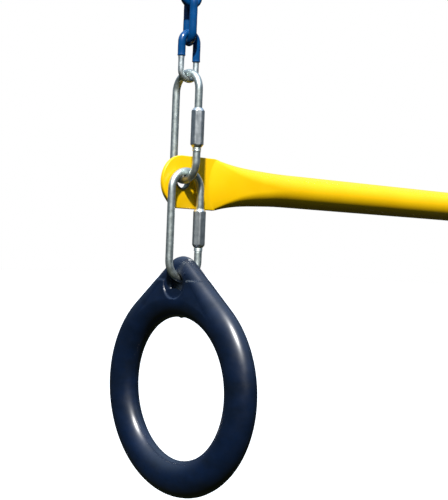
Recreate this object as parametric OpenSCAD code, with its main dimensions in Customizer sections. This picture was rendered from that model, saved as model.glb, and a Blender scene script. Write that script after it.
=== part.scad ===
// Ring-and-trapeze swing set: a trapeze bar and two gym rings, hung on two plastic-coated chains
// from two ceiling hangers. Millimetres. The origin is the middle of the four beam bolts, in the
// plane where both hangers meet the beam. +X runs along the bar, +Y is fore-aft, +Z is up.

/* [Suspension] */
// distance between the two chains, hole to hole in the bar
span = 480; // [460:5:700]
// chain links on each side
link_count = 7; // [3:2:11]

/* [Hangers] */
// bracket plate length, fore-aft
plate_len = 100; // [80:1:140]
// bracket plate width
plate_w = 50; // [40:1:80]
// bracket plate and cheek thickness
plate_t = 5; // [4:0.5:8]
// fore-aft distance between the two beam bolts of a bracket
bolt_pitch = 70; // [60:1:110]
// beam bolt hole diameter
bolt_hole_d = 9; // [7:0.5:13]
// pivot pin diameter
pin_d = 10; // [8:1:12]
// drop from the beam to the pivot pin
pin_drop = 24; // [22:1:40]

/* [Quick links] */
// quick link wire diameter
wire_d = 6.35; // [5:0.05:10]
// quick link length over all
ql_len = 95; // [70:1:120]
// distance between the centres of the two legs
ql_pitch = 30; // [20:1:40]
// length of the screw sleeve
nut_len = 32; // [20:1:40]
// width across the flats of the screw sleeve
nut_af = 10; // [8:0.5:14]

/* [Chain] */
// chain wire diameter
chain_d = 4.9; // [4:0.1:8]
// inside length of a link
link_in_len = 33.5; // [24:0.5:45]
// inside width of a link
link_in_w = 10.7; // [9:0.1:16]
// thickness of the plastic coat
coat_t = 0.85; // [0.6:0.05:2]
// every second chain link settles this far off square
link_turn = 20; // [0:1:25]
// each ring settles this far off square to the bar
ring_turn = 2; // [0:0.5:5]

/* [Trapeze bar] */
// bar tube diameter
bar_d = 29.2; // [22:0.1:35]
// bar tube wall
bar_wall = 2; // [1.2:0.1:3]
// height of the flattened bar end
tab_h = 44; // [36:1:52]
// thickness of the flattened bar end
tab_t = 4; // [3:0.5:6]
// bar tip beyond the hole
tab_tip = 20.5; // [14:1:36]
// flat part of the bar end inside the hole
tab_in = 34; // [22:1:40]
// length of the flare from flat to round
flare_len = 71; // [40:1:110]
// hole in the bar end
bar_hole_d = 13.2; // [10:0.1:18]
// height of that hole above the middle of the bar
hole_up = 1; // [0:0.5:4]
// inside diameter of the eyelet in that hole
eyelet_d = 12; // [8:0.2:16]

/* [Rings] */
// ring outside diameter
ring_d = 178; // [160:1:240]
// radial thickness of the grip
grip_h = 29.8; // [22:0.2:34]
// axial thickness of the grip
grip_t = 22; // [18:0.5:34]
// apex above the ring centre
apex_h = 109; // [100:1:150]
// radius of the round apex
apex_r = 18; // [12:1:28]
// diameter of the link hole in the apex
ring_hole_d = 13; // [10:0.5:18]

/* [Node] */
// name of the one piece to draw, or all

/* [Hidden] */
$fn = 64;
waist_at = 0.36;                            // share of the flare's length
waist_h = 34.2;
waist_t = 22;
gap = 0.2;                                  // running clearance where two loops hang in each other
coat_gap = 0.7;                             // the same between two coats, which a turned link needs
wire_r = wire_d / 2;
ql_bow = ql_pitch / 2;                      // centreline radius of a quick link's round ends
ql_c = ql_len - wire_d;                     // centre of the top wire to centre of the bottom wire
chain_r = chain_d / 2;
coat_r = chain_r + coat_t;
link_bow = (link_in_w + chain_d) / 2;
link_c = link_in_len + chain_d;
link_step = link_c - 2 * coat_r - coat_gap;      // drop from one link's top wire to the next one's

cheek_in = 11;                              // half the space between a bracket's cheeks
cheek_r = 14;                               // round bottom of a cheek
barrel_r = 12;
barrel_half = 10.5;
bush_wall = 1.95;
eye_bow = 13;
eye_r = 4.5;
eye_drop = 30;                              // pivot pin to the centre of the pendulum's eye
washer_t = 2;
washer_r = 10;
head_t = 6.4;
head_af = 16;
lock_t = 9.5;

// heights of the wires' centres, from the top down
pin_z = -pin_drop;
eye_z = pin_z - eye_drop;
tq_top = eye_z - eye_bow + eye_r + wire_r + gap;
tq_bot = tq_top - ql_c;
chain_top = tq_bot + wire_r + coat_r + gap;
chain_bot = chain_top - (link_count - 1) * link_step - link_c;
uq_top = chain_bot + chain_r + wire_r + gap;
uq_bot = uq_top - ql_c;

// the bar's tab and the lower quick link stand side by side on the upper link's bow
bar_y = 3.8;
lq_y = -3.4;
lq_rise = ql_bow - sqrt(pow(ql_bow - wire_d - gap, 2) - lq_y * lq_y);
lq_top = uq_bot + lq_rise;
lq_bot = lq_top - ql_c;
flange_t = 1.2;
flange_d = 15;
eyelet_back = bar_y + tab_t / 2 + flange_t;
tab_rest = ql_bow - sqrt(pow(ql_bow - wire_r, 2) - pow(eyelet_back, 2));
bar_z = uq_bot + tab_rest + gap - eyelet_d / 2 - hole_up;

// ring: the hole's top wall hangs on the lower quick link's bottom wire
hole_r = ring_hole_d / 2;
web_half = 8;                               // half thickness of the eye around the hole
body_half = 10;                             // half thickness below the eye's round step
step_r = 15;                                // radius of that step around the hole
lip_r = 6;
rim_r = 8.8;                                // round edge of the eye
wall_above = 15;                            // material between the hole and the apex
ring_hang = 0.5;                            // the link's bow touches the two lips first
apex_z = lq_bot + wire_r + ring_hang + wall_above;
ring_z = apex_z - apex_h;
hole_h = apex_h - wall_above - hole_r;      // hole centre above the ring centre
grip_R = ring_d / 2 - grip_h / 2;
section_n = 28;                             // flats round the grip's oval section
eye_h = apex_h - apex_r;                    // centre of the round apex above the ring centre
lean = acos((ring_d / 2 - apex_r) / eye_h); // tangent points lie at this angle from straight up

// screw sleeve: measured down from the outer top of its link
nut_top = 33.5;
stub_len = 3.2;                             // thread that shows below the sleeve
gap_top = 52;                               // the link's opening, inside the closed sleeve
gap_len = 9;
thread_r = wire_r + 0.55;

steel = [0.72, 0.72, 0.70];
zinc = [0.66, 0.67, 0.66];
blue = [0.02, 0.24, 0.60];
navy = [0.05, 0.10, 0.24];
yellow = [1.0, 0.78, 0.02];
nylon = [0.90, 0.89, 0.84];

// left side at -X; s is -1 for left and 1 for right
module side(s) {
    translate([s * span / 2, 0, 0]) children();
}

// the right side is the left side mirrored
module mirrored(s) {
    side(s) mirror([s > 0 ? 1 : 0, 0, 0]) children();
}

// --- wire loops, built in their own XZ plane with the middle of the top bow's wire at the origin ---

module half_bow(bow, r) {
    rotate([90, 0, 0]) rotate_extrude(angle = 180) translate([bow, 0]) circle(r = r);
}

module rod(r, z0, z1, x) {
    translate([x, 0, z0]) cylinder(r = r, h = z1 - z0);
}

module oval_loop(bow, c, r) {
    translate([0, 0, -bow]) half_bow(bow, r);
    translate([0, 0, -c + bow]) mirror([0, 0, 1]) half_bow(bow, r);
    rod(r, -c + bow, -bow, bow);
    rod(r, -c + bow, -bow, -bow);
}

// the leg at +X carries the opening and the screw sleeve
module quick_link() {
    translate([0, 0, -ql_bow]) half_bow(ql_bow, wire_r);
    translate([0, 0, -ql_c + ql_bow]) mirror([0, 0, 1]) half_bow(ql_bow, wire_r);
    rod(wire_r, -ql_c + ql_bow, -ql_bow, -ql_bow);
    rod(wire_r, wire_r - gap_top, -ql_bow, ql_bow);
    rod(wire_r, -ql_c + ql_bow, wire_r - gap_top - gap_len, ql_bow);
    collar_z = wire_r - nut_top - nut_len;
    difference() {
        rod(thread_r, collar_z - stub_len, collar_z - gap, ql_bow);
        rod(wire_r, collar_z - stub_len - 1, collar_z + 1, ql_bow);
    }
}

module sleeve() {
    z1 = wire_r - nut_top;
    translate([ql_bow, 0, z1 - nut_len])
        difference() {
            intersection() {
                cylinder(d = nut_af / cos(30), h = nut_len, $fn = 6);
                union() {
                    cylinder(r1 = nut_af / 2 - 0.2, r2 = nut_af / 2 + 1.3, h = 1.5);
                    translate([0, 0, 1.5]) cylinder(r = nut_af / 2 + 1.3, h = nut_len - 3);
                    translate([0, 0, nut_len - 1.5])
                        cylinder(r1 = nut_af / 2 + 1.3, r2 = nut_af / 2 - 0.2, h = 1.5);
                }
            }
            translate([0, 0, -1]) cylinder(r = wire_r + gap, h = nut_len + 2);
        }
}

// --- hangers ---

module cheek(x0) {
    translate([x0, 0, 0])
        difference() {
            union() {
                translate([0, -cheek_r, pin_z]) cube([plate_t, 2 * cheek_r, -plate_t - pin_z]);
                translate([0, 0, pin_z]) rotate([0, 90, 0]) cylinder(r = cheek_r, h = plate_t);
            }
            translate([-1, 0, pin_z]) rotate([0, 90, 0]) cylinder(r = pin_d / 2 + 0.25, h = plate_t + 2);
        }
}

module bracket(s) {
    color(zinc) side(s) {
        difference() {
            translate([-plate_w / 2, -plate_len / 2, -plate_t]) cube([plate_w, plate_len, plate_t]);
            for (y = [-bolt_pitch / 2, bolt_pitch / 2])
                translate([0, y, -plate_t - 1]) cylinder(d = bolt_hole_d, h = plate_t + 2);
        }
        cheek(cheek_in);
        cheek(-cheek_in - plate_t);
    }
}

module pin(s) {
    out = cheek_in + plate_t + washer_t;
    color(steel) mirrored(s) translate([0, 0, pin_z]) rotate([0, 90, 0]) {
        translate([0, 0, -out - head_t]) rotate([0, 0, 30]) cylinder(d = head_af / cos(30), h = head_t, $fn = 6);
        translate([0, 0, -out - 1]) cylinder(d = pin_d, h = 2 * out + lock_t + 3);
    }
}

module lock_nut(s) {
    out = cheek_in + plate_t + washer_t;
    color(steel) mirrored(s) translate([out, 0, pin_z]) rotate([0, 90, 0])
        difference() {
            rotate([0, 0, 30]) cylinder(d = head_af / cos(30), h = lock_t, $fn = 6);
            translate([0, 0, -1]) cylinder(d = pin_d + 0.1, h = lock_t + 2);
        }
}

module washers(s) {
    color(steel) side(s)
        for (x = [cheek_in + plate_t, -cheek_in - plate_t - washer_t])
            translate([x, 0, pin_z]) rotate([0, 90, 0])
                difference() {
                    cylinder(r = washer_r, h = washer_t);
                    translate([0, 0, -1]) cylinder(d = pin_d + 0.5, h = washer_t + 2);
                }
}

module bush(s) {
    color(nylon) side(s) translate([-barrel_half, 0, pin_z]) rotate([0, 90, 0])
        difference() {
            cylinder(r = pin_d / 2 + 0.15 + bush_wall - 0.05, h = 2 * barrel_half);
            translate([0, 0, -1]) cylinder(r = pin_d / 2 + 0.15, h = 2 * barrel_half + 2);
        }
}

module pendulum(s) {
    bore = pin_d / 2 + 0.15 + bush_wall;
    color(zinc) side(s) difference() {
        union() {
            translate([-barrel_half, 0, pin_z]) rotate([0, 90, 0])
                cylinder(r = barrel_r, h = 2 * barrel_half);
            translate([0, 0, eye_z + eye_bow]) cylinder(r = 6, h = pin_z - 8 - eye_z - eye_bow);
            translate([0, 0, eye_z]) rotate([90, 0, 0])
                rotate_extrude() translate([eye_bow, 0]) circle(r = eye_r);
        }
        translate([-barrel_half - 1, 0, pin_z]) rotate([0, 90, 0])
            cylinder(r = bore, h = 2 * barrel_half + 2);
    }
}

// --- quick links: top and upper stand fore-aft, lower stands along the bar ---

module fore_aft(s, z) {
    side(s) translate([0, 0, z]) rotate([0, 0, -90]) children();
}

module along_bar(s, z) {
    mirrored(s) translate([0, lq_y, z]) children();
}

module top_link(s) {
    color(zinc) fore_aft(s, tq_top) quick_link();
}

module top_nut(s) {
    color(steel) fore_aft(s, tq_top) sleeve();
}

module upper_link(s) {
    color(zinc) fore_aft(s, uq_top) quick_link();
}

module upper_nut(s) {
    color(steel) fore_aft(s, uq_top) sleeve();
}

module lower_link(s) {
    color(zinc) along_bar(s, lq_top) quick_link();
}

module lower_nut(s) {
    color(steel) along_bar(s, lq_top) sleeve();
}

// --- chain: odd links stand along the bar, even links nearly fore-aft ---

module at_link(s, k) {
    side(s) translate([0, 0, chain_top - (k - 1) * link_step])
        rotate([0, 0, k % 2 == 1 ? 0 : 90 - link_turn]) children();
}

module chain_link(s, k) {
    color(zinc) at_link(s, k) oval_loop(link_bow, link_c, chain_r);
}

// the last link is dipped to half its length only
module chain_coat(s, k) {
    half = k == link_count;
    color(blue) at_link(s, k)
        difference() {
            union() {
                translate([0, 0, -link_bow]) half_bow(link_bow, coat_r);
                rod(coat_r, half ? -link_c / 2 : -link_c + link_bow, -link_bow, link_bow);
                rod(coat_r, half ? -link_c / 2 : -link_c + link_bow, -link_bow, -link_bow);
                if (!half)
                    translate([0, 0, -link_c + link_bow]) mirror([0, 0, 1]) half_bow(link_bow, coat_r);
            }
            oval_loop(link_bow, link_c, chain_r + 0.05);
        }
}

// --- trapeze bar ---

module tab_solid() {
    round_x = tab_h / 2 - tab_tip;
    rotate([90, 0, 0]) translate([round_x, 0, 0]) cylinder(d = tab_h, h = tab_t, center = true);
    translate([round_x, -tab_t / 2, -tab_h / 2]) cube([tab_in - round_x, tab_t, tab_h]);
}

// the flare's waist is nearly as low as the tube, and still flat
module waist() {
    translate([tab_in + waist_at * flare_len, 0, 0]) rotate([90, 0, 90])
        linear_extrude(height = 1) scale([waist_t / waist_h, 1]) circle(d = waist_h, $fn = 32);
}

module tab_end() {
    difference() {
        union() {
            tab_solid();
            hull() {
                translate([tab_in - 1, -tab_t / 2, -tab_h / 2]) cube([1, tab_t, tab_h]);
                waist();
            }
            hull() {
                waist();
                translate([tab_in + flare_len, 0, 0]) rotate([0, 90, 0]) cylinder(d = bar_d, h = 1);
            }
        }
        translate([0, 0, hole_up]) rotate([90, 0, 0])
            cylinder(d = bar_hole_d, h = tab_t + 2, center = true);
    }
}

// flanged steel tube that lines the hole
module eyelet(s) {
    half = tab_t / 2 + flange_t;
    color(steel) translate([s * span / 2, bar_y, bar_z + hole_up]) rotate([90, 0, 0])
        difference() {
            union() {
                cylinder(d = bar_hole_d - 0.1, h = tab_t, center = true);
                translate([0, 0, tab_t / 2]) cylinder(d = flange_d, h = flange_t);
                translate([0, 0, -half]) cylinder(d = flange_d, h = flange_t);
            }
            cylinder(d = eyelet_d, h = 2 * half + 2, center = true);
        }
}

module trapeze_bar() {
    tube_x = span / 2 - tab_in - flare_len - 1;
    color(yellow) translate([0, bar_y, bar_z]) {
        translate([-span / 2, 0, 0]) tab_end();
        translate([span / 2, 0, 0]) mirror([1, 0, 0]) tab_end();
        rotate([0, 90, 0])
            difference() {
                cylinder(d = bar_d, h = 2 * tube_x, center = true);
                cylinder(d = bar_d - 2 * bar_wall, h = 2 * tube_x + 2, center = true);
            }
    }
}

// --- ring, built flat with its apex at +Y, then stood up across the bar ---

module grip() {
    rotate_extrude()
        translate([grip_R, 0])
            polygon([for (i = [0:section_n - 1])
                [grip_h / 2 * cos((i + 0.5) * 360 / section_n), grip_t / 2 * sin((i + 0.5) * 360 / section_n)]]);
}

// the triangle of material between the grip and the apex
module web_outline(top) {
    inset = 5.5;
    r_big = ring_d / 2 - inset;
    r_small = apex_r - inset;
    intersection() {
        difference() {
            polygon([
                [-r_big * sin(lean), r_big * cos(lean)],
                [-r_small * sin(lean), eye_h + r_small * cos(lean)],
                [r_small * sin(lean), eye_h + r_small * cos(lean)],
                [r_big * sin(lean), r_big * cos(lean)]
            ]);
            circle(r = ring_d / 2 - grip_h + 5);
        }
        translate([-ring_d / 2, 0]) square([ring_d, top]);
    }
}

module web() {
    linear_extrude(height = 2 * web_half, center = true) web_outline(apex_h);
    difference() {
        linear_extrude(height = 2 * body_half, center = true) web_outline(hole_h + 2);
        translate([0, hole_h, 0]) cylinder(r = step_r, h = 2 * body_half + 2, center = true);
    }
}

// round edge that runs straight from the grip to the apex
module flank(m) {
    len = eye_h * sin(lean);
    r_end = grip_t / 2 - 0.3;
    mirror([m, 0, 0])
        translate([(apex_r - rim_r) * sin(lean), eye_h + (apex_r - rim_r) * cos(lean), 0])
            rotate([0, 0, -lean - atan((r_end - rim_r + 0.4) / len)])
                rotate([0, 90, 0])
                    cylinder(r1 = rim_r, r2 = r_end, h = len);
}

module eye() {
    translate([0, eye_h, 0]) {
        rotate_extrude() translate([apex_r - rim_r, 0]) circle(r = rim_r);
        cylinder(r = apex_r - rim_r, h = 2 * web_half, center = true);
    }
}

// hourglass hole with round lips
module link_hole() {
    flat = web_half - lip_r;
    translate([0, hole_h, 0])
        rotate_extrude()
            difference() {
                translate([0, -20]) square([hole_r + lip_r, 40]);
                translate([hole_r + lip_r, flat]) circle(r = lip_r);
                translate([hole_r + lip_r, -flat]) circle(r = lip_r);
                translate([hole_r, -flat]) square([lip_r + 1, 2 * flat]);
            }
}

module ring(s) {
    color(navy) side(s) translate([0, lq_y, ring_z])
        rotate([90, 0, 90 + ring_turn])
            difference() {
                union() {
                    grip();
                    web();
                    flank(0);
                    flank(1);
                    eye();
                }
                link_hole();
            }
}

bracket(-1);  // left_bracket
pin(-1);  // left_pin
lock_nut(-1);  // left_lock_nut
washers(-1);  // left_washers
bush(-1);  // left_bush
pendulum(-1);  // left_pendulum
top_link(-1);  // left_top_link
top_nut(-1);  // left_top_nut
chain_link(-1, 1);  // left_link_1
chain_link(-1, 2);  // left_link_2
chain_link(-1, 3);  // left_link_3
chain_link(-1, 4);  // left_link_4
chain_link(-1, 5);  // left_link_5
chain_link(-1, 6);  // left_link_6
chain_link(-1, 7);  // left_link_7
chain_coat(-1, 1);  // left_coat_1
chain_coat(-1, 2);  // left_coat_2
chain_coat(-1, 3);  // left_coat_3
chain_coat(-1, 4);  // left_coat_4
chain_coat(-1, 5);  // left_coat_5
chain_coat(-1, 6);  // left_coat_6
chain_coat(-1, 7);  // left_coat_7
upper_link(-1);  // left_upper_link
upper_nut(-1);  // left_upper_nut
lower_link(-1);  // left_lower_link
lower_nut(-1);  // left_lower_nut
ring(-1);  // left_ring
trapeze_bar();
eyelet(-1);  // left_eyelet
eyelet(1);  // right_eyelet
bracket(1);  // right_bracket
pin(1);  // right_pin
lock_nut(1);  // right_lock_nut
washers(1);  // right_washers
bush(1);  // right_bush
pendulum(1);  // right_pendulum
top_link(1);  // right_top_link
top_nut(1);  // right_top_nut
chain_link(1, 1);  // right_link_1
chain_link(1, 2);  // right_link_2
chain_link(1, 3);  // right_link_3
chain_link(1, 4);  // right_link_4
chain_link(1, 5);  // right_link_5
chain_link(1, 6);  // right_link_6
chain_link(1, 7);  // right_link_7
chain_coat(1, 1);  // right_coat_1
chain_coat(1, 2);  // right_coat_2
chain_coat(1, 3);  // right_coat_3
chain_coat(1, 4);  // right_coat_4
chain_coat(1, 5);  // right_coat_5
chain_coat(1, 6);  // right_coat_6
chain_coat(1, 7);  // right_coat_7
upper_link(1);  // right_upper_link
upper_nut(1);  // right_upper_nut
lower_link(1);  // right_lower_link
lower_nut(1);  // right_lower_nut
ring(1);  // right_ring
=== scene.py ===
"""Ring-and-trapeze swing set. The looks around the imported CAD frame, in metres.

The origin is the middle of the four beam bolts. +X runs along the trapeze bar, +Y is fore-aft, +Z is up.
Each side hangs from one hanger: pendulum, quick link, coated chain, quick link, then the bar and a ring.
"""

import math

import bmesh
import bpy
import numpy as np
from mathutils import Matrix, Vector


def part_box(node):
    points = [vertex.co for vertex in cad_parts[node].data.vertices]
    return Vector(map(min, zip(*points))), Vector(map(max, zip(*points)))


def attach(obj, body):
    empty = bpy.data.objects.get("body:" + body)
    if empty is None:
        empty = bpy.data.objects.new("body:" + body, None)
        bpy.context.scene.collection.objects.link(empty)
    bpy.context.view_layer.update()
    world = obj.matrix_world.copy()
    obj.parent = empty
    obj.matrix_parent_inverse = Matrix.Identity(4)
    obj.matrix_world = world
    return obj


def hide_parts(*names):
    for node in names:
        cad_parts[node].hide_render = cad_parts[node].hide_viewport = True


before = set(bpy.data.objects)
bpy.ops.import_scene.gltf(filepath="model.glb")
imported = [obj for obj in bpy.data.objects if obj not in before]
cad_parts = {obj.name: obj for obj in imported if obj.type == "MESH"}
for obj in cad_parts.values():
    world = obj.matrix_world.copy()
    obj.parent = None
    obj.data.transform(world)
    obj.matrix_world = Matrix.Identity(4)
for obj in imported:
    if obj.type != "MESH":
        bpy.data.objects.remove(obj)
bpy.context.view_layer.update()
MM = 0.001
SIDES = (("left", -1), ("right", 1))

# driving dimensions, as in the CAD source; QL is a quick link
SPAN = 480 * MM
WIRE_R = 6.35 / 2 * MM
QL_LEN = 95 * MM
QL_BOW = 15 * MM
NUT_TOP = 33.5 * MM
NUT_LEN = 32 * MM
NUT_AF = 10 * MM
GAP_TOP = 52 * MM
GAP_LEN = 9 * MM
STUB_LEN = 3.2 * MM
CHAIN_R = 4.9 / 2 * MM
COAT_R = CHAIN_R + 0.85 * MM
LINK_TURN = math.radians(20)
LINK_BOW = 7.8 * MM
LINK_C = 38.4 * MM
LINK_COUNT = 7
BAR_R = 14.6 * MM
TAB_H = 44 * MM
TAB_T = 4 * MM
TAB_TIP = 20.5 * MM
TAB_IN = 34 * MM
FLARE_LEN = 71 * MM
HOLE_D = 13.2 * MM
HOLE_UP = 1 * MM
RING_R = 89 * MM
GRIP_H = 29.8 * MM
GRIP_T = 22 * MM
APEX_H = 109 * MM
APEX_R = 18 * MM
RING_HOLE_R = 6.5 * MM
WALL_ABOVE = 15 * MM
RING_HOLE_Z = APEX_H - WALL_ABOVE - RING_HOLE_R
RUNNING_GAP = 0.2 * MM
RING_TURN = math.radians(2)


# --- mesh helpers ---


def mesh_object(name, verts, faces):
    """A new object with outward normals and soft shading."""
    mesh = bpy.data.meshes.new(name)
    mesh.from_pydata([tuple(v) for v in verts], [], faces)
    made = bmesh.new()
    made.from_mesh(mesh)
    bmesh.ops.recalc_face_normals(made, faces=made.faces)
    made.to_mesh(mesh)
    made.free()
    obj = bpy.data.objects.new(name, mesh)
    bpy.context.scene.collection.objects.link(obj)
    shade(obj, 35)
    return obj


def shade(obj, degrees):
    """Smooth shading, sharp at edges steeper than that angle."""
    obj.data.shade_smooth()
    obj.data.set_sharp_from_angle(angle=math.radians(degrees))


def skin(name, rings, loop=False):
    """Quads over rings, an (n, m, 3) array of closed sections. Its ends are joined, or capped."""
    n, m = len(rings), len(rings[0])
    verts = np.asarray(rings, float).reshape(-1, 3)
    faces = []
    for i in range(n if loop else n - 1):
        a, b = i * m, (i + 1) % n * m
        for j in range(m):
            k = (j + 1) % m
            faces.append((a + j, a + k, b + k, b + j))
    if not loop:
        faces.append(tuple(range(m)))
        faces.append(tuple((n - 1) * m + j for j in range(m)))
    return mesh_object(name, verts, faces)


def lathe(name, outline, place, steps=64):
    """Turns a closed (radius, height) outline round local Z, then puts each point in its place."""
    angles = np.linspace(0, 2 * math.pi, steps, endpoint=False)
    rings = [[place(r * math.cos(t), r * math.sin(t), h) for r, h in outline] for t in angles]
    return skin(name, rings, loop=True)


def smooth_step(x):
    """0 below 0, 1 above 1, and an S-shaped rise between."""
    x = np.clip(x, 0.0, 1.0)
    return x * x * (3 - 2 * x)


def unit_noise(x, y, seed):
    """A smooth, repeatable wave from -1 to 1."""
    broad = math.sin(1.7 * x + seed) * math.cos(2.3 * y - 0.7 * seed)
    fine = math.sin(3.1 * x - 1.3 * y + 2 * seed)
    return broad * 0.6 + fine * 0.4


def finish_piece(obj, body, node, material):
    """Gives a piece its material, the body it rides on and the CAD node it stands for."""
    obj.data.materials.clear()
    obj.data.materials.append(material)
    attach(obj, body)
    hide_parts(node)
    return obj


def combine(obj, tool, operation):
    """Cuts tool from obj, or joins it on, and removes tool."""
    change = obj.modifiers.new(operation, "BOOLEAN")
    change.object = tool
    change.operation = operation
    change.solver = "EXACT"
    graph = bpy.context.evaluated_depsgraph_get()
    made = bpy.data.meshes.new_from_object(obj.evaluated_get(graph))
    obj.modifiers.clear()
    obj.data = made
    bpy.data.objects.remove(tool)
    return obj


# --- places, as the CAD source turns its parts ---


def side_x(s):
    return s * SPAN / 2


def fore_aft(s, z):
    """A quick link's own plane turned across the bar, with its sleeve to the front."""
    return lambda x, y, h: (side_x(s) + y, -x, z + h)


def along_bar(s, y0, z):
    """A quick link's own plane kept along the bar, with its sleeve towards the bar's middle."""
    return lambda x, y, h: (side_x(s) - s * x, y0 + y, z + h)


def chain_place(s, k, z):
    """Odd links lie along the bar. Even links lie across it, settled a little off square."""
    turn = 0.0 if k % 2 else math.pi / 2 - LINK_TURN
    c, n = math.cos(turn), math.sin(turn)
    return lambda x, y, h: (side_x(s) + x * c - y * n, x * n + y * c, z + h)


# --- wire shapes: stations along a line in a link's own XZ plane ---


def straight(x, z0, z1, steps):
    """Stations up or down a leg: (point, direction)."""
    way = (0.0, math.copysign(1.0, z1 - z0))
    return [((x, z), way) for z in np.linspace(z0, z1, steps)]


def bow(centre_z, radius, start, end, steps):
    """Stations round a bow, from one angle to the other in degrees."""
    turn = math.copysign(1.0, end - start)
    made = []
    for angle in np.radians(np.linspace(start, end, steps)):
        point = (radius * math.cos(angle), centre_z + radius * math.sin(angle))
        made.append((point, (-turn * math.sin(angle), turn * math.cos(angle))))
    return made


def wire(name, stations, radius_at, place, loop=False, around=28):
    """A round wire along the stations. radius_at(i, x, z, turn) is its radius."""
    rings = []
    for i, ((x, z), (dx, dz)) in enumerate(stations):
        ring = []
        for j in range(around):
            turn = 2 * math.pi * j / around
            r = radius_at(i, x, z, turn)
            out = r * math.cos(turn)
            ring.append(place(x + out * dz, r * math.sin(turn), z - out * dx))
        rings.append(ring)
    return skin(name, rings, loop)


def quick_link(name, place):
    """Bent wire with a threaded stub under the sleeve and a plain end above the opening."""
    pitch = 1.1 * MM
    crest = 0.12 * MM
    depth = 0.42 * MM
    collar = 0.55 * MM
    point = 0.55
    point_len = 2 * MM
    drop = QL_LEN - 2 * WIRE_R
    low_end = WIRE_R - GAP_TOP - GAP_LEN
    sleeve_low = WIRE_R - NUT_TOP - NUT_LEN
    thread_low = sleeve_low - STUB_LEN
    collar_low = thread_low + 0.1 * MM
    collar_high = sleeve_low - RUNNING_GAP
    # gaps between the last station of one stretch and the first of the next
    skip_angle = 5
    skip = 1 * MM
    run_out = 0.4 * MM
    stations = straight(QL_BOW, low_end, thread_low, 56)
    threaded = len(stations)
    stations += straight(QL_BOW, thread_low - run_out, -drop + QL_BOW, 6)
    stations += bow(-drop + QL_BOW, QL_BOW, -skip_angle, -180, 30)
    stations += straight(-QL_BOW, -drop + QL_BOW + skip, -QL_BOW - skip, 10)
    stations += bow(-QL_BOW, QL_BOW, 180, 0, 31)
    stations += straight(QL_BOW, -QL_BOW - skip, WIRE_R - GAP_TOP, 10)

    def radius_at(i, x, z, turn):
        if i >= threaded:
            return WIRE_R
        phase = (z / pitch + turn / (2 * math.pi)) % 1.0
        groove = depth * (1 - abs(2 * phase - 1))
        swell = collar if collar_low < z < collar_high else crest
        lead_in = min(1.0, point + (low_end - z) / point_len)
        return (WIRE_R + swell - groove) * lead_in

    return wire(name, stations, radius_at, place)


def hexagon(turn, across_flats, corner):
    """Distance from the axis to a hexagon with round corners. Corners lie at 0, 60 and so on."""
    off = abs((math.degrees(turn) + 30) % 60 - 30)
    flat = across_flats / 2 / math.cos(math.radians(30 - off))
    # inside the sharp corner at the tip, and outside the flat a few degrees away from it
    tip = across_flats / 2 / math.cos(math.radians(30)) - corner * (0.35 + 0.02 * off)
    return min(flat, tip + off * off * 0.004 * MM)


def sleeve(name, place):
    """Hexagonal screw sleeve with long cone ends and a countersunk bore."""
    mouth = 3.75 * MM
    cone = 0.72
    corner = 0.9 * MM
    countersink = 0.35 * MM
    bore = WIRE_R + RUNNING_GAP
    top = WIRE_R - NUT_TOP
    turns = np.linspace(0, 2 * math.pi, 96, endpoint=False)
    ends = [0, 0.25, 0.6, 1.0, 1.5, 2.0, 2.4, 2.8, 3.2]
    heights = [-NUT_LEN + h * MM for h in ends] + [-h * MM for h in reversed(ends)]
    rings = []
    for h in heights:
        cone_r = mouth + cone * min(-h, NUT_LEN + h)
        rings.append([(min(hexagon(t, NUT_AF, corner), cone_r), t, h) for t in turns])
    for h in (-countersink, -NUT_LEN + countersink):
        rings.append([(bore, t, h) for t in turns])
    placed = [
        [place(QL_BOW + r * math.cos(t), r * math.sin(t), top + h) for r, t, h in ring]
        for ring in rings
    ]
    obj = skin(name, placed, loop=True)
    shade(obj, 24)
    return obj


def link_stations():
    """Round a chain link: down one leg, the lower bow, up the other leg, the upper bow."""
    low = -LINK_C + LINK_BOW
    stations = straight(LINK_BOW, -LINK_BOW, low, 14)[:-1]
    stations += bow(low, LINK_BOW, 0, -180, 23)[:-1]
    stations += straight(-LINK_BOW, low, -LINK_BOW, 14)[:-1]
    return stations + bow(-LINK_BOW, LINK_BOW, 180, 0, 23)[:-1]


def chain_link(name, place):
    """Round wire with a raised weld in the middle of one leg."""
    weld_len = 1.3 * MM
    weld_height = 0.32 * MM

    def radius_at(i, x, z, turn):
        from_weld = (z + LINK_C / 2) / weld_len
        weld = weld_height * math.exp(-from_weld * from_weld) if x < 0 else 0.0
        return CHAIN_R + weld

    return wire(name, link_stations(), radius_at, place, loop=True)


def chain_coat(name, place, seed, half):
    """Dipped vinyl skin. On the last link it stops half way down, in a thick rim on each leg."""
    ripple = 0.07 * MM
    wave_down, wave_across = 5 * MM, 4 * MM

    def wavy(x, z, turn):
        return COAT_R + ripple * unit_noise(z / wave_down, turn + x / wave_across, seed) - ripple

    if not half:
        return wire(name, link_stations(), lambda i, x, z, turn: wavy(x, z, turn), place, loop=True)
    ends = {-1: -LINK_C / 2 - 0.4 * MM, 1: -LINK_C / 2 - 3.7 * MM}
    rim = 1.5 * MM
    rim_swell = 0.16 * MM
    rim_sink = 0.02 * MM
    lip = 0.45
    film = 0.05 * MM
    stations = straight(-LINK_BOW, ends[-1], -LINK_BOW, 26)[:-1]
    stations += bow(-LINK_BOW, LINK_BOW, 180, 0, 23)[:-1]
    stations += straight(LINK_BOW, -LINK_BOW, ends[1], 30)

    def radius_at(i, x, z, turn):
        if z > -LINK_BOW:
            return wavy(x, z, turn)
        above = (z - ends[1 if x > 0 else -1]) / rim
        swell = rim_swell * math.exp(-((above - 0.55) / 0.4) ** 2)
        if above > lip:
            return wavy(x, z, turn) + swell - rim_sink
        tuck = math.sqrt(max(0.0, 1 - ((lip - above) / lip) ** 2))
        return CHAIN_R + film + (COAT_R + swell - ripple - CHAIN_R) * tuck

    return wire(name, stations, radius_at, place)


# --- trapeze bar ---


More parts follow.
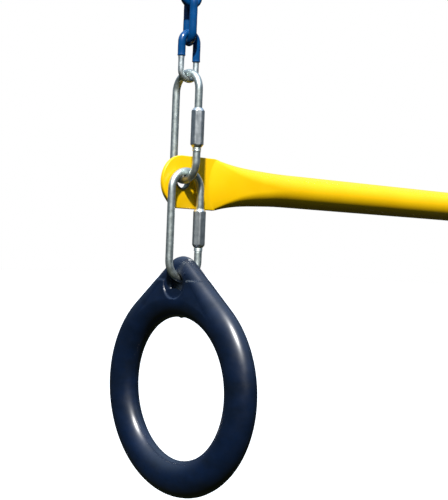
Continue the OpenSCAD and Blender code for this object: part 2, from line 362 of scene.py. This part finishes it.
def half_height(t):
    """Half the bar's height, t along from the hole: flat tab, then a concave flare, then the tube."""
    easing = 3 * MM
    fall_len = 24 * MM
    fade_from, fade_len = 0.7 * FLARE_LEN, 0.5 * FLARE_LEN
    past = max(0.0, t - TAB_IN)
    soft = past * past / (past + easing) if past else 0.0
    fall = math.exp(-soft / fall_len)
    blend = 1 - float(smooth_step((t - TAB_IN - fade_from) / fade_len))
    return BAR_R + (TAB_H / 2 - BAR_R) * fall * blend


def half_thickness(t):
    """A flattened tube keeps its girth, so its thickness follows from its height."""
    under_plate = 0.1 * MM
    girth = BAR_R * math.pi / 2
    grown = (girth - half_height(t)) / (math.pi / 2 - 1)
    return min(BAR_R, max(TAB_T / 2 - under_plate, grown))


def flat_oval(height, thickness, count):
    """Points evenly spaced round two straights and two half circles: (y, z), both from the middle."""
    run = max(0.0, height - thickness)
    arc = math.pi * thickness
    total = 4 * run + 2 * arc
    points = []
    for i in range(count):
        at = total * i / count
        if at < run:
            points.append((-thickness, at))
        elif at < run + arc:
            turn = (at - run) / thickness
            points.append((-thickness * math.cos(turn), run + thickness * math.sin(turn)))
        elif at < 3 * run + arc:
            points.append((thickness, 2 * run + arc - at))
        elif at < 3 * run + 2 * arc:
            turn = (at - 3 * run - arc) / thickness
            points.append((thickness * math.cos(turn), -run - thickness * math.sin(turn)))
        else:
            points.append((-thickness, at - total))
    return points


def bar_tube(name, y0, z0):
    """Tube and both flares. The flare starts sooner at mid height, which leaves a curved crease."""
    lead = 8 * MM
    start = TAB_IN - lead - 4 * MM
    # stations 1 mm apart over most of the flare, then 4 mm apart, and one at the middle of the bar
    close, wide, apart = 60, 14, 4
    along = [start + i * MM for i in range(close)]
    along += [start + close * MM + i * apart * MM for i in range(wide)]
    along.append(SPAN / 2)
    rings = []
    for t in along:
        height, thickness = half_height(t), half_thickness(t)
        ring = []
        for y, z in flat_oval(height, thickness, 112):
            swell = half_thickness(t + lead * max(0.0, 1 - (z / height) ** 2) ** 0.8)
            ring.append((t - SPAN / 2, y0 + y * swell / thickness, z0 + z))
        rings.append(ring)
    mirrored = [[(-x, y, z) for x, y, z in ring] for ring in reversed(rings[:-1])]
    return skin(name, rings + mirrored)


def tab_outline():
    """The tab's edge: round tip with one small chamfer below, and straight sides that meet the flare."""
    reach = TAB_IN + 5 * MM
    half = TAB_H / 2
    cut = math.radians(52)
    tip = np.linspace(0.05, math.pi - cut, 44)
    points = [(t, half_height(t)) for t in np.linspace(reach, 0, 36)]
    points += [(-TAB_TIP * math.sin(a), half * math.cos(a)) for a in tip]
    points += [(-0.46 * TAB_TIP, -0.97 * half), (-0.36 * TAB_TIP, -half)]
    points += [(t, -half_height(t)) for t in np.linspace(-4 * MM, reach, 38)]
    return points


def tab_plate(name, s, y0, z0):
    """The pressed flat end, with its edges a little round."""
    outline = tab_outline()
    half = TAB_T / 2
    # the edge's section: (millimetres in from the outline, share of the half thickness)
    near = ((1.1, 1.0), (0.5, 0.93), (0.12, 0.7), (0.0, 0.4))
    profile = near + tuple((inset, -level) for inset, level in reversed(near))
    count = len(outline)
    rings = []
    for inset, level in profile:
        ring = []
        for i, (t, z) in enumerate(outline):
            before, after = outline[i - 1], outline[(i + 1) % count]
            dt, dz = after[0] - before[0], after[1] - before[1]
            size = math.hypot(dt, dz)
            inward = (-dz / size * inset * MM, dt / size * inset * MM)
            ring.append((s * (SPAN / 2 - t - inward[0]), y0 + level * half, z0 + z + inward[1]))
        rings.append(ring)
    return skin(name, rings)


def drill(name, x, y0, z, radius):
    """A round tool along Y. Its core is open by a hair, so the cut leaves a needle on the axis."""
    core = 0.0005 * MM
    reach = 9 * MM
    outline = [(core, -reach), (radius, -reach), (radius, reach), (core, reach)]
    return lathe(name, outline, lambda a, b, h: (x + a, y0 + h, z + b))


def trapeze_bar(name, y0, z0):
    bar = bar_tube(name, y0, z0)
    for side, s in SIDES:
        combine(bar, tab_plate("tab", s, y0, z0), "UNION")
        combine(bar, drill("drill", side_x(s), y0, z0 + HOLE_UP, HOLE_D / 2), "DIFFERENCE")
    shade(bar, 28)
    return bar


def eyelet(name, x, low, high):
    """Flanged tube with rolled rims."""
    middle_y, middle_z = (low.y + high.y) / 2, (low.z + high.z) / 2
    reach = (high.y - low.y) / 2
    flange_r = (high.z - low.z) / 2
    bore_r = 6 * MM
    barrel_r = HOLE_D / 2 - 0.05 * MM
    lip = 1.2 * MM
    half = [
        (bore_r, 0.0), (bore_r, reach - 1.5 * lip), (bore_r + 0.1 * MM, reach - 0.7 * lip),
        (bore_r + 0.35 * MM, reach - 0.2 * lip), (bore_r + 0.7 * MM, reach),
        (flange_r - 0.3 * MM, reach - 0.15 * lip), (flange_r, reach - 0.5 * lip),
        (flange_r - 0.15 * MM, reach - 0.9 * lip), (barrel_r, reach - lip),
    ]
    outline = half + [(r, -h) for r, h in reversed(half[1:])]
    return lathe(name, outline, lambda a, b, h: (x + a, middle_y + h, middle_z + b), steps=72)


# --- ring ---


def ring_reach(turn):
    """Centre to outer edge: a circle below, two straight flanks, and a round apex. 0 is straight up."""
    lean = math.acos((RING_R - APEX_R) / (APEX_H - APEX_R))
    eye = APEX_H - APEX_R
    a = abs(turn)
    tip = math.atan2(APEX_R * math.sin(lean), eye + APEX_R * math.cos(lean))
    if a >= lean:
        return RING_R
    if a >= tip:
        return RING_R / math.cos(lean - a)
    return eye * math.cos(a) + math.sqrt(APEX_R**2 - (eye * math.sin(a)) ** 2)


def ring_turns():
    """Directions round the ring: close together at the eye, wider apart round the grip."""
    edge = math.radians(26)
    fine = np.linspace(-edge, edge, 150, endpoint=False)
    coarse = np.linspace(edge, 2 * math.pi - edge, 150, endpoint=False)
    return np.concatenate([fine, coarse])


def eye_share(y, z):
    """1 in the thin eye round the link hole, 0 in the thick body. y across, z above the ring's centre."""
    line_drop = 19.5 * MM
    sag_depth, sag_width = 2.5 * MM, 11 * MM
    lip_r = 13.4 * MM
    ramp_len = 1.1 * MM
    sag = sag_depth * math.exp(-((y / sag_width) ** 2))
    above_line = (z - (APEX_H - line_drop - sag)) / ramp_len
    in_lip = (lip_r - math.hypot(y, z - RING_HOLE_Z)) / ramp_len
    return float(smooth_step(max(above_line, in_lip) + 0.5))


def ring_half_thickness(rho, length, turn, y, z):
    """Half thickness at rho from the inner edge of a section of that length."""
    inner = GRIP_H / 2
    full = GRIP_T / 2
    eye_outer, eye_full = 10.5 * MM, 9.4 * MM
    eye_edge, fade = 6, 34
    step_depth = 1.3 * MM
    step_from, step_len = 2.5 * MM, 8.4 * MM
    dot_y, dot_z = -11.5 * MM, 95 * MM
    dot_r, dot_height = 0.9 * MM, 0.35 * MM
    near = 1 - float(smooth_step((abs(math.degrees(turn)) - eye_edge) / fade))
    outer = inner + (eye_outer - inner) * near
    full_outer = full + (eye_full - full) * near
    flat_end = length - outer
    if rho < inner:
        level = full * math.sqrt(max(0.0, 1 - ((inner - rho) / inner) ** 2))
    elif rho > flat_end:
        level = full_outer * math.sqrt(max(0.0, 1 - ((rho - flat_end) / outer) ** 2))
    else:
        level = full + (full_outer - full) * (rho - inner) / max(flat_end - inner, 0.01 * MM)
    step = step_depth * eye_share(y, z) * float(smooth_step((level - step_from) / step_len))
    dot = math.hypot(y - dot_y, z - dot_z) / dot_r
    return level - step + dot_height * math.exp(-dot * dot)


def ring(name):
    """Moulded ring in the YZ plane, with mould seams, a gate mark and a funnelled link hole."""
    around = 168
    inner_r = RING_R - GRIP_H
    seam = 0.13 * MM
    inset = 0.25 * MM
    gate_r, gate_depth = 2.4 * MM, 0.9 * MM
    rings = []
    for turn in ring_turns():
        if turn > math.pi:
            turn -= 2 * math.pi
        length = ring_reach(turn) - inner_r
        section = []
        for j in range(around):
            angle = 2 * math.pi * (j + 0.5) / around
            rho = length * (1 - math.cos(angle)) / 2
            r = inner_r + rho
            y, z = r * math.sin(turn), r * math.cos(turn)
            level = math.copysign(1.0, math.sin(angle)) * ring_half_thickness(rho, length, turn, y, z)
            r -= inset
            if j in (0, around - 1):
                r -= seam
                gate = math.hypot(inner_r * turn, level) / gate_r
                r -= gate_depth * math.exp(-gate * gate)
            if j in (around // 2 - 1, around // 2):
                r += seam
            section.append((level, r * math.sin(turn), r * math.cos(turn)))
        rings.append(section)
    obj = skin(name, rings, loop=True)
    combine(obj, funnel("funnel"), "DIFFERENCE")
    shade(obj, 40)
    return obj


def funnel(name):
    """The link hole's tool: narrow at the middle, round out to both faces, and worn a little low.

    Its core is open by a hair, so this cut leaves a needle too.
    """
    worn = 0.8 * MM
    throat = RING_HOLE_R + worn
    lip = 3.2 * MM
    flat = 4.8 * MM
    spread, past_face = 4.5 * MM, 1.2 * MM
    core = 0.001 * MM
    turns = np.radians(np.linspace(0, 80, 12))
    flare = [(throat + lip * (1 - math.cos(a)), flat + lip * math.sin(a)) for a in turns]
    reach = flat + lip * math.sin(turns[-1])
    flare += [(flare[-1][0] + spread, reach + past_face), (core, reach + past_face)]
    outline = [(r, -h) for r, h in reversed(flare)] + flare
    return lathe(name, outline, lambda a, b, h: (h, a, RING_HOLE_Z - worn + b), steps=96)


# --- materials ---


class Shader:
    """A procedural material over rest coordinates, which ride with the piece."""

    def __init__(self, name, metallic=0.0, coat=0.0, coat_roughness=0.1, specular=0.5):
        self.material = bpy.data.materials.new(name)
        self.material.use_nodes = True
        self.tree = self.material.node_tree
        self.surface = self.tree.nodes["Principled BSDF"]
        self.surface.inputs["Metallic"].default_value = metallic
        self.surface.inputs["Coat Weight"].default_value = coat
        self.surface.inputs["Coat Roughness"].default_value = coat_roughness
        self.surface.inputs["Specular IOR Level"].default_value = specular
        self.coords = self.tree.nodes.new("ShaderNodeTexCoord").outputs["Object"]
        self.normal = None

    def node(self, kind, **settings):
        made = self.tree.nodes.new(kind)
        for key, value in settings.items():
            setattr(made, key, value)
        return made

    def stretched(self, scale):
        """The coordinates, scaled along each axis."""
        mapping = self.node("ShaderNodeMapping")
        mapping.inputs["Scale"].default_value = scale
        self.tree.links.new(self.coords, mapping.inputs["Vector"])
        return mapping.outputs["Vector"]

    def noise(self, scale, detail=3.0, roughness=0.5, stretch=(1, 1, 1)):
        """Noise with that many blobs a metre."""
        made = self.node("ShaderNodeTexNoise")
        made.inputs["Scale"].default_value = scale
        made.inputs["Detail"].default_value = detail
        made.inputs["Roughness"].default_value = roughness
        self.tree.links.new(self.stretched(stretch), made.inputs["Vector"])
        return made.outputs["Fac"]

    def cells(self, scale, stretch=(1, 1, 1)):
        """Crystal-like cells, as zinc spangle has."""
        made = self.node("ShaderNodeTexVoronoi")
        made.inputs["Scale"].default_value = scale
        self.tree.links.new(self.stretched(stretch), made.inputs["Vector"])
        return made.outputs["Color"]

    def ramp(self, source, *stops):
        """Colours or greys over a source from 0 to 1. Each stop is (place, colour or grey)."""
        made = self.node("ShaderNodeValToRGB")
        elements = made.color_ramp.elements
        for i, (place, value) in enumerate(stops):
            element = elements[i] if i < 2 else elements.new(place)
            element.position = place
            colour = (value, value, value) if isinstance(value, (int, float)) else value
            element.color = (*colour, 1.0)
        self.tree.links.new(source, made.inputs["Fac"])
        return made.outputs["Color"]

    def mix(self, share, a, b):
        """Colour a, a socket, with the plain colour b over it by that share, a socket."""
        made = self.node("ShaderNodeMix", data_type="RGBA")
        self.tree.links.new(share, made.inputs[0])
        self.tree.links.new(a, made.inputs[6])
        made.inputs[7].default_value = (*b, 1.0)
        return made.outputs[2]

    def colour(self, source):
        self.tree.links.new(source, self.surface.inputs["Base Color"])

    def roughness(self, source):
        self.tree.links.new(source, self.surface.inputs["Roughness"])

    def bump(self, source, depth, strength=1.0):
        """Adds relief of that depth in metres on top of any before it."""
        made = self.node("ShaderNodeBump")
        made.inputs["Strength"].default_value = strength
        made.inputs["Distance"].default_value = depth
        self.tree.links.new(source, made.inputs["Height"])
        if self.normal is not None:
            self.tree.links.new(self.normal, made.inputs["Normal"])
        self.normal = made.outputs["Normal"]
        self.tree.links.new(self.normal, self.surface.inputs["Normal"])


def zinc_wire():
    """Zinc-plated drawn wire: pale blue-grey, with die marks, small dents and dull patches."""
    m = Shader("zinc_wire", metallic=1.0)
    base = m.ramp(m.noise(160, 4, 0.6), (0.3, (0.56, 0.62, 0.60)), (0.7, (0.74, 0.80, 0.77)))
    tint = m.ramp(m.noise(420, 3, 0.7), (0.52, 0.0), (0.74, 0.5))
    m.colour(m.mix(tint, base, (0.40, 0.43, 0.33)))
    m.roughness(m.ramp(m.noise(300, 5, 0.65), (0.3, 0.40), (0.75, 0.58)))
    m.bump(m.noise(900, 2, 0.5, (1, 1, 0.12)), 0.05 * MM, 0.4)
    m.bump(m.noise(380, 3, 0.6), 0.10 * MM, 0.4)
    return m.material


def zinc_chain():
    """Galvanised chain wire: duller, with crystal-like patches."""
    m = Shader("zinc_chain", metallic=1.0)
    spangle = m.ramp(m.cells(700), (0.2, (0.58, 0.64, 0.65)), (0.8, (0.76, 0.82, 0.83)))
    grime = m.ramp(m.noise(240, 4, 0.65), (0.5, 0.0), (0.78, 0.6))
    m.colour(m.mix(grime, spangle, (0.27, 0.30, 0.26)))
    m.roughness(m.ramp(m.noise(500, 4, 0.6), (0.3, 0.46), (0.75, 0.64)))
    m.bump(m.noise(600, 4, 0.6), 0.10 * MM, 0.5)
    return m.material


def turned_steel():
    """Bright plated hexagon stock with fine lines along its length."""
    m = Shader("turned_steel", metallic=1.0)
    lines = m.noise(1500, 2, 0.5, (1, 1, 0.03))
    base = m.ramp(m.noise(120, 4, 0.6), (0.3, (0.84, 0.88, 0.88)), (0.7, (0.96, 0.98, 0.98)))
    m.colour(m.mix(m.ramp(lines, (0.4, 0.0), (0.8, 0.3)), base, (0.60, 0.64, 0.66)))
    m.roughness(m.ramp(m.noise(260, 4, 0.6), (0.3, 0.33), (0.75, 0.44)))
    m.bump(lines, 0.012 * MM, 0.4)
    m.bump(m.noise(300, 3, 0.5), 0.03 * MM, 0.3)
    return m.material


def eyelet_steel_painted_shade():
    """Zinc plating painted dark olive-grey, as painted shade and a painted reflection of the yellow bar,
    with rubbed patches.
    """
    m = Shader("eyelet_steel_painted_shade", metallic=1.0)
    # dark olive base: painted shade and a painted reflection of the yellow bar, not the plating's own
    # colour
    base = m.ramp(m.noise(260, 4, 0.6), (0.3, (0.17, 0.19, 0.12)), (0.7, (0.34, 0.37, 0.30)))
    rubbed = m.ramp(m.noise(700, 4, 0.6), (0.55, 0.0), (0.75, 0.5))
    m.colour(m.mix(rubbed, base, (0.52, 0.55, 0.50)))
    m.roughness(m.ramp(m.noise(420, 4, 0.6), (0.3, 0.38), (0.75, 0.58)))
    m.bump(m.noise(600, 4, 0.6), 0.06 * MM, 0.5)
    return m.material


def rolled_steel():
    """Thick zinc-plated hanger steel: broad dull patches and faint rolling marks."""
    m = Shader("rolled_steel", metallic=1.0)
    base = m.ramp(m.noise(60, 5, 0.65), (0.3, (0.56, 0.59, 0.60)), (0.7, (0.74, 0.77, 0.78)))
    specks = m.ramp(m.cells(520), (0.1, 0.0), (0.9, 0.3))
    m.colour(m.mix(specks, base, (0.86, 0.89, 0.90)))
    m.roughness(m.ramp(m.noise(120, 5, 0.65), (0.3, 0.42), (0.75, 0.62)))
    m.bump(m.noise(260, 5, 0.65), 0.10 * MM, 0.5)
    return m.material


def blue_vinyl():
    """Glossy dipped vinyl, with slow waves and a little dust."""
    m = Shader("blue_vinyl", coat=0.3, coat_roughness=0.08, specular=0.45)
    base = m.ramp(m.noise(140, 3, 0.5), (0.3, (0.0006, 0.048, 0.165)), (0.75, (0.0012, 0.070, 0.240)))
    dust = m.ramp(m.noise(900, 5, 0.7), (0.68, 0.0), (0.88, 0.25))
    m.colour(m.mix(dust, base, (0.06, 0.17, 0.34)))
    m.roughness(m.ramp(m.noise(260, 4, 0.6), (0.3, 0.18), (0.75, 0.36)))
    m.bump(m.noise(190, 2, 0.4), 0.25 * MM, 0.35)
    m.bump(m.noise(1500, 3, 0.6), 0.02 * MM, 0.35)
    return m.material


def yellow_paint():
    """Glossy powder coat with fine orange peel, faint dust and small rubbed spots."""
    m = Shader("yellow_paint", coat=0.15, coat_roughness=0.15, specular=0.35)
    base = m.ramp(m.noise(26, 4, 0.55), (0.3, (0.90, 0.515, 0.0)), (0.7, (0.96, 0.57, 0.002)))
    rubbed = m.ramp(m.noise(170, 6, 0.72), (0.68, 0.0), (0.80, 0.3))
    m.colour(m.mix(rubbed, base, (0.72, 0.40, 0.01)))
    m.roughness(m.ramp(m.noise(90, 5, 0.65), (0.3, 0.28), (0.75, 0.44)))
    m.bump(m.noise(640, 2, 0.45), 0.05 * MM, 0.45)
    m.bump(m.noise(2600, 2, 0.5), 0.008 * MM, 0.5)
    return m.material


def navy_plastic():
    """Satin moulded plastic: faint flow marks, a fine grain and rubbed scuffs."""
    m = Shader("navy_plastic", coat=0.45, coat_roughness=0.2, specular=0.6)
    flow = m.noise(34, 5, 0.6, (1, 1, 2.2))
    base = m.ramp(flow, (0.3, (0.0006, 0.0044, 0.0150)), (0.72, (0.0016, 0.0090, 0.0340)))
    scuffs = m.ramp(m.noise(420, 6, 0.75, (0.5, 1, 1)), (0.66, 0.0), (0.82, 0.2))
    m.colour(m.mix(scuffs, base, (0.020, 0.035, 0.075)))
    m.roughness(m.ramp(m.noise(110, 5, 0.65), (0.3, 0.32), (0.75, 0.44)))
    m.bump(m.noise(1700, 2, 0.5), 0.018 * MM, 0.45)
    m.bump(m.noise(75, 3, 0.5), 0.22 * MM, 0.25)
    m.bump(m.ramp(m.noise(800, 5, 0.8, (0.2, 1, 1)), (0.62, 0.0), (0.7, 1.0)), 0.02 * MM, 0.4)
    return m.material


def nylon():
    """Milky bearing plastic with fine turning marks."""
    m = Shader("nylon", specular=0.4)
    m.colour(m.ramp(m.noise(300, 4, 0.6), (0.3, (0.66, 0.64, 0.56)), (0.75, (0.78, 0.77, 0.70))))
    m.roughness(m.ramp(m.noise(700, 4, 0.6), (0.3, 0.42), (0.75, 0.62)))
    m.bump(m.noise(1800, 3, 0.6, (3, 1, 1)), 0.02 * MM, 0.5)
    return m.material


def floor_paint():
    """Plain pale matte floor."""
    m = Shader("floor_paint", specular=0.2)
    m.colour(m.ramp(m.noise(3, 5, 0.6), (0.3, 0.78), (0.7, 0.80)))
    m.roughness(m.ramp(m.noise(20, 4, 0.6), (0.3, 0.75), (0.7, 0.9)))
    return m.material


# --- pieces on the frame ---

WIRE_STEEL = zinc_wire()
CHAIN_STEEL = zinc_chain()
HEX_STEEL = turned_steel()
EYELET_STEEL_PAINTED_SHADE = eyelet_steel_painted_shade()
HANGER_STEEL = rolled_steel()
VINYL = blue_vinyl()
PAINT = yellow_paint()
PLASTIC = navy_plastic()
BEARING = nylon()


def top_of(node):
    """Height of the top of a CAD node."""
    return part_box(node)[1].z


def middle_of(node):
    """Middle of a CAD node's box."""
    low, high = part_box(node)
    return (low + high) / 2


def add_quick_link(side, place_name, place):
    """A link and its sleeve. Each rides on its own body."""
    link, nut = f"{side}_{place_name}_link", f"{side}_{place_name}_nut"
    finish_piece(quick_link(f"{link}_wire", place), link, link, WIRE_STEEL)
    finish_piece(sleeve(f"{nut}_sleeve", place), nut, nut, HEX_STEEL)


def add_chain(side, s):
    """Every link and its coat. The last coat is a half one."""
    for k in range(1, LINK_COUNT + 1):
        body, coat = f"{side}_link_{k}", f"{side}_coat_{k}"
        place = chain_place(s, k, top_of(body) - CHAIN_R)
        finish_piece(chain_link(f"{body}_wire", place), body, body, CHAIN_STEEL)
        skin_piece = chain_coat(f"{coat}_skin", place, 1.3 * k + s, half=k == LINK_COUNT)
        finish_piece(skin_piece, body, coat, VINYL)


def dress_hanger(side):
    """The hanger's CAD nodes keep their shapes and get finished materials."""
    dressed = {
        "bracket": HANGER_STEEL, "pendulum": HANGER_STEEL, "pin": HEX_STEEL,
        "lock_nut": HEX_STEEL, "washers": HEX_STEEL, "bush": BEARING,
    }
    for part, material in dressed.items():
        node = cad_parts[f"{side}_{part}"]
        node.data.materials.clear()
        node.data.materials.append(material)


def add_side(side, s):
    """Everything on one side but the ring."""
    dress_hanger(side)
    for place_name in ("top", "upper"):
        z = top_of(f"{side}_{place_name}_link") - WIRE_R
        add_quick_link(side, place_name, fore_aft(s, z))
    low = f"{side}_lower_link"
    add_quick_link(side, "lower", along_bar(s, middle_of(low).y, top_of(low) - WIRE_R))
    add_chain(side, s)
    rim = eyelet(f"{side}_eyelet_rim", side_x(s), *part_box(f"{side}_eyelet"))
    finish_piece(rim, "trapeze_bar", f"{side}_eyelet", EYELET_STEEL_PAINTED_SHADE)


def add_bar():
    middle = middle_of("trapeze_bar")
    bar = trapeze_bar("bar_tube", middle.y, middle.z)
    finish_piece(bar, "trapeze_bar", "trapeze_bar", PAINT)


def add_rings():
    """Both rings have the same shape, so the right one is a copy."""
    left = ring("left_ring_grip")
    right = bpy.data.objects.new("right_ring_grip", left.data.copy())
    bpy.context.scene.collection.objects.link(right)
    middle_y = middle_of("left_ring").y
    centre_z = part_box("left_ring")[0].z + RING_R
    for (side, s), grip in zip(SIDES, (left, right)):
        centre = Matrix.Translation((side_x(s), middle_y, centre_z))
        grip.data.transform(centre @ Matrix.Rotation(RING_TURN, 4, "Z"))
        finish_piece(grip, f"{side}_ring", f"{side}_ring", PLASTIC)


for side, s in SIDES:
    add_side(side, s)
add_bar()
add_rings()


# --- camera, lights and floor ---

AZIMUTH = math.radians(-40.6)
ELEVATION = math.radians(-0.18)
ROLL = math.radians(2.2)
LENS_MM = 76.2
SENSOR_MM = 36
DISTANCE = 873.5 * MM
LEFT_OF_VIEW = 32.7 * MM
ABOVE_VIEW = 63.5 * MM
ABOVE_BAR = 7.2 * MM
FLOOR_Z = -1.35
SUN_AZIMUTH = math.radians(-44)
SUN_ELEVATION = math.radians(49)
SUN_SPREAD = math.radians(3.0)
SUN_STRENGTH = 6.2
# what lights the pieces from all round, by height: 0 is straight down, 0.5 level and 1 straight up
AROUND = (
    (0.0, (0.022, 0.026, 0.012)), (0.47, (0.022, 0.028, 0.02)), (0.53, (0.025, 0.034, 0.042)),
    (0.64, (0.08, 0.115, 0.16)), (0.80, (0.34, 0.47, 0.66)), (1.0, (0.62, 0.82, 1.10)),
)


def direction(azimuth, elevation):
    """Unit vector out from the part. Azimuth 0 is in front, at -Y, and a quarter turn is +X."""
    return Vector((
        math.sin(azimuth) * math.cos(elevation),
        -math.cos(azimuth) * math.cos(elevation),
        math.sin(elevation),
    ))


def camera():
    """Near level, out past the left end of the bar and in front of it, and a little tilted."""
    back = direction(AZIMUTH, ELEVATION)
    level_right = Vector((math.cos(AZIMUTH), math.sin(AZIMUTH), 0))
    level_up = back.cross(level_right)
    right = math.cos(ROLL) * level_right + math.sin(ROLL) * level_up
    up = math.cos(ROLL) * level_up - math.sin(ROLL) * level_right
    target = Vector((side_x(-1), 0, middle_of("trapeze_bar").z + ABOVE_BAR))
    data = bpy.data.cameras.new("camera")
    data.lens = LENS_MM
    data.sensor_width = SENSOR_MM
    data.clip_start, data.clip_end = 0.01, 60
    data.dof.use_dof = False
    obj = bpy.data.objects.new("camera", data)
    bpy.context.scene.collection.objects.link(obj)
    turn = Matrix((right, up, back)).transposed().to_4x4()
    place = target + LEFT_OF_VIEW * right - ABOVE_VIEW * up + DISTANCE * back
    obj.matrix_world = Matrix.Translation(place) @ turn
    bpy.context.scene.camera = obj


def surroundings():
    """White to the eye. What lights the pieces is pale sky above and dim ground below."""
    world = bpy.data.worlds.new("surroundings")
    bpy.context.scene.world = world
    world.use_nodes = True
    tree = world.node_tree
    ways = tree.nodes.new("ShaderNodeTexCoord").outputs["Generated"]
    split = tree.nodes.new("ShaderNodeSeparateXYZ")
    tree.links.new(ways, split.inputs["Vector"])
    height = tree.nodes.new("ShaderNodeMapRange")
    height.inputs["From Min"].default_value = -1.0
    tree.links.new(split.outputs["Z"], height.inputs["Value"])
    ramp = tree.nodes.new("ShaderNodeValToRGB")
    for i, (place, colour) in enumerate(AROUND):
        element = ramp.color_ramp.elements[i] if i < 2 else ramp.color_ramp.elements.new(place)
        element.position = place
        element.color = (*colour, 1.0)
    tree.links.new(height.outputs["Result"], ramp.inputs["Fac"])
    seen = tree.nodes["Background"]
    seen.inputs["Color"].default_value = (1.0, 1.0, 1.0, 1.0)
    lit = tree.nodes.new("ShaderNodeBackground")
    tree.links.new(ramp.outputs["Color"], lit.inputs["Color"])
    choose = tree.nodes.new("ShaderNodeMixShader")
    tree.links.new(tree.nodes.new("ShaderNodeLightPath").outputs["Is Camera Ray"], choose.inputs["Fac"])
    tree.links.new(lit.outputs["Background"], choose.inputs[1])
    tree.links.new(seen.outputs["Background"], choose.inputs[2])
    tree.links.new(choose.outputs["Shader"], tree.nodes["World Output"].inputs["Surface"])


def sun():
    """The key light, from high on the left in front."""
    way = direction(SUN_AZIMUTH, SUN_ELEVATION)
    data = bpy.data.lights.new("key", "SUN")
    data.energy = SUN_STRENGTH
    data.angle = SUN_SPREAD
    data.color = (1.0, 0.985, 0.955)
    obj = bpy.data.objects.new("key", data)
    obj.rotation_mode = "QUATERNION"
    obj.rotation_quaternion = (-way).to_track_quat("-Z", "Y")
    bpy.context.scene.collection.objects.link(obj)


def floor():
    """Plain floor. It takes no part in what lights the pieces."""
    size = 30
    obj = mesh_object(
        "floor",
        [(-size, -size, FLOOR_Z), (size, -size, FLOOR_Z), (size, size, FLOOR_Z), (-size, size, FLOOR_Z)],
        [(0, 1, 2, 3)],
    )
    obj.data.materials.append(floor_paint())
    obj.visible_diffuse = False
    obj.visible_glossy = False


camera()
surroundings()
floor()
sun()
bpy.context.scene.view_settings.view_transform = "Standard"
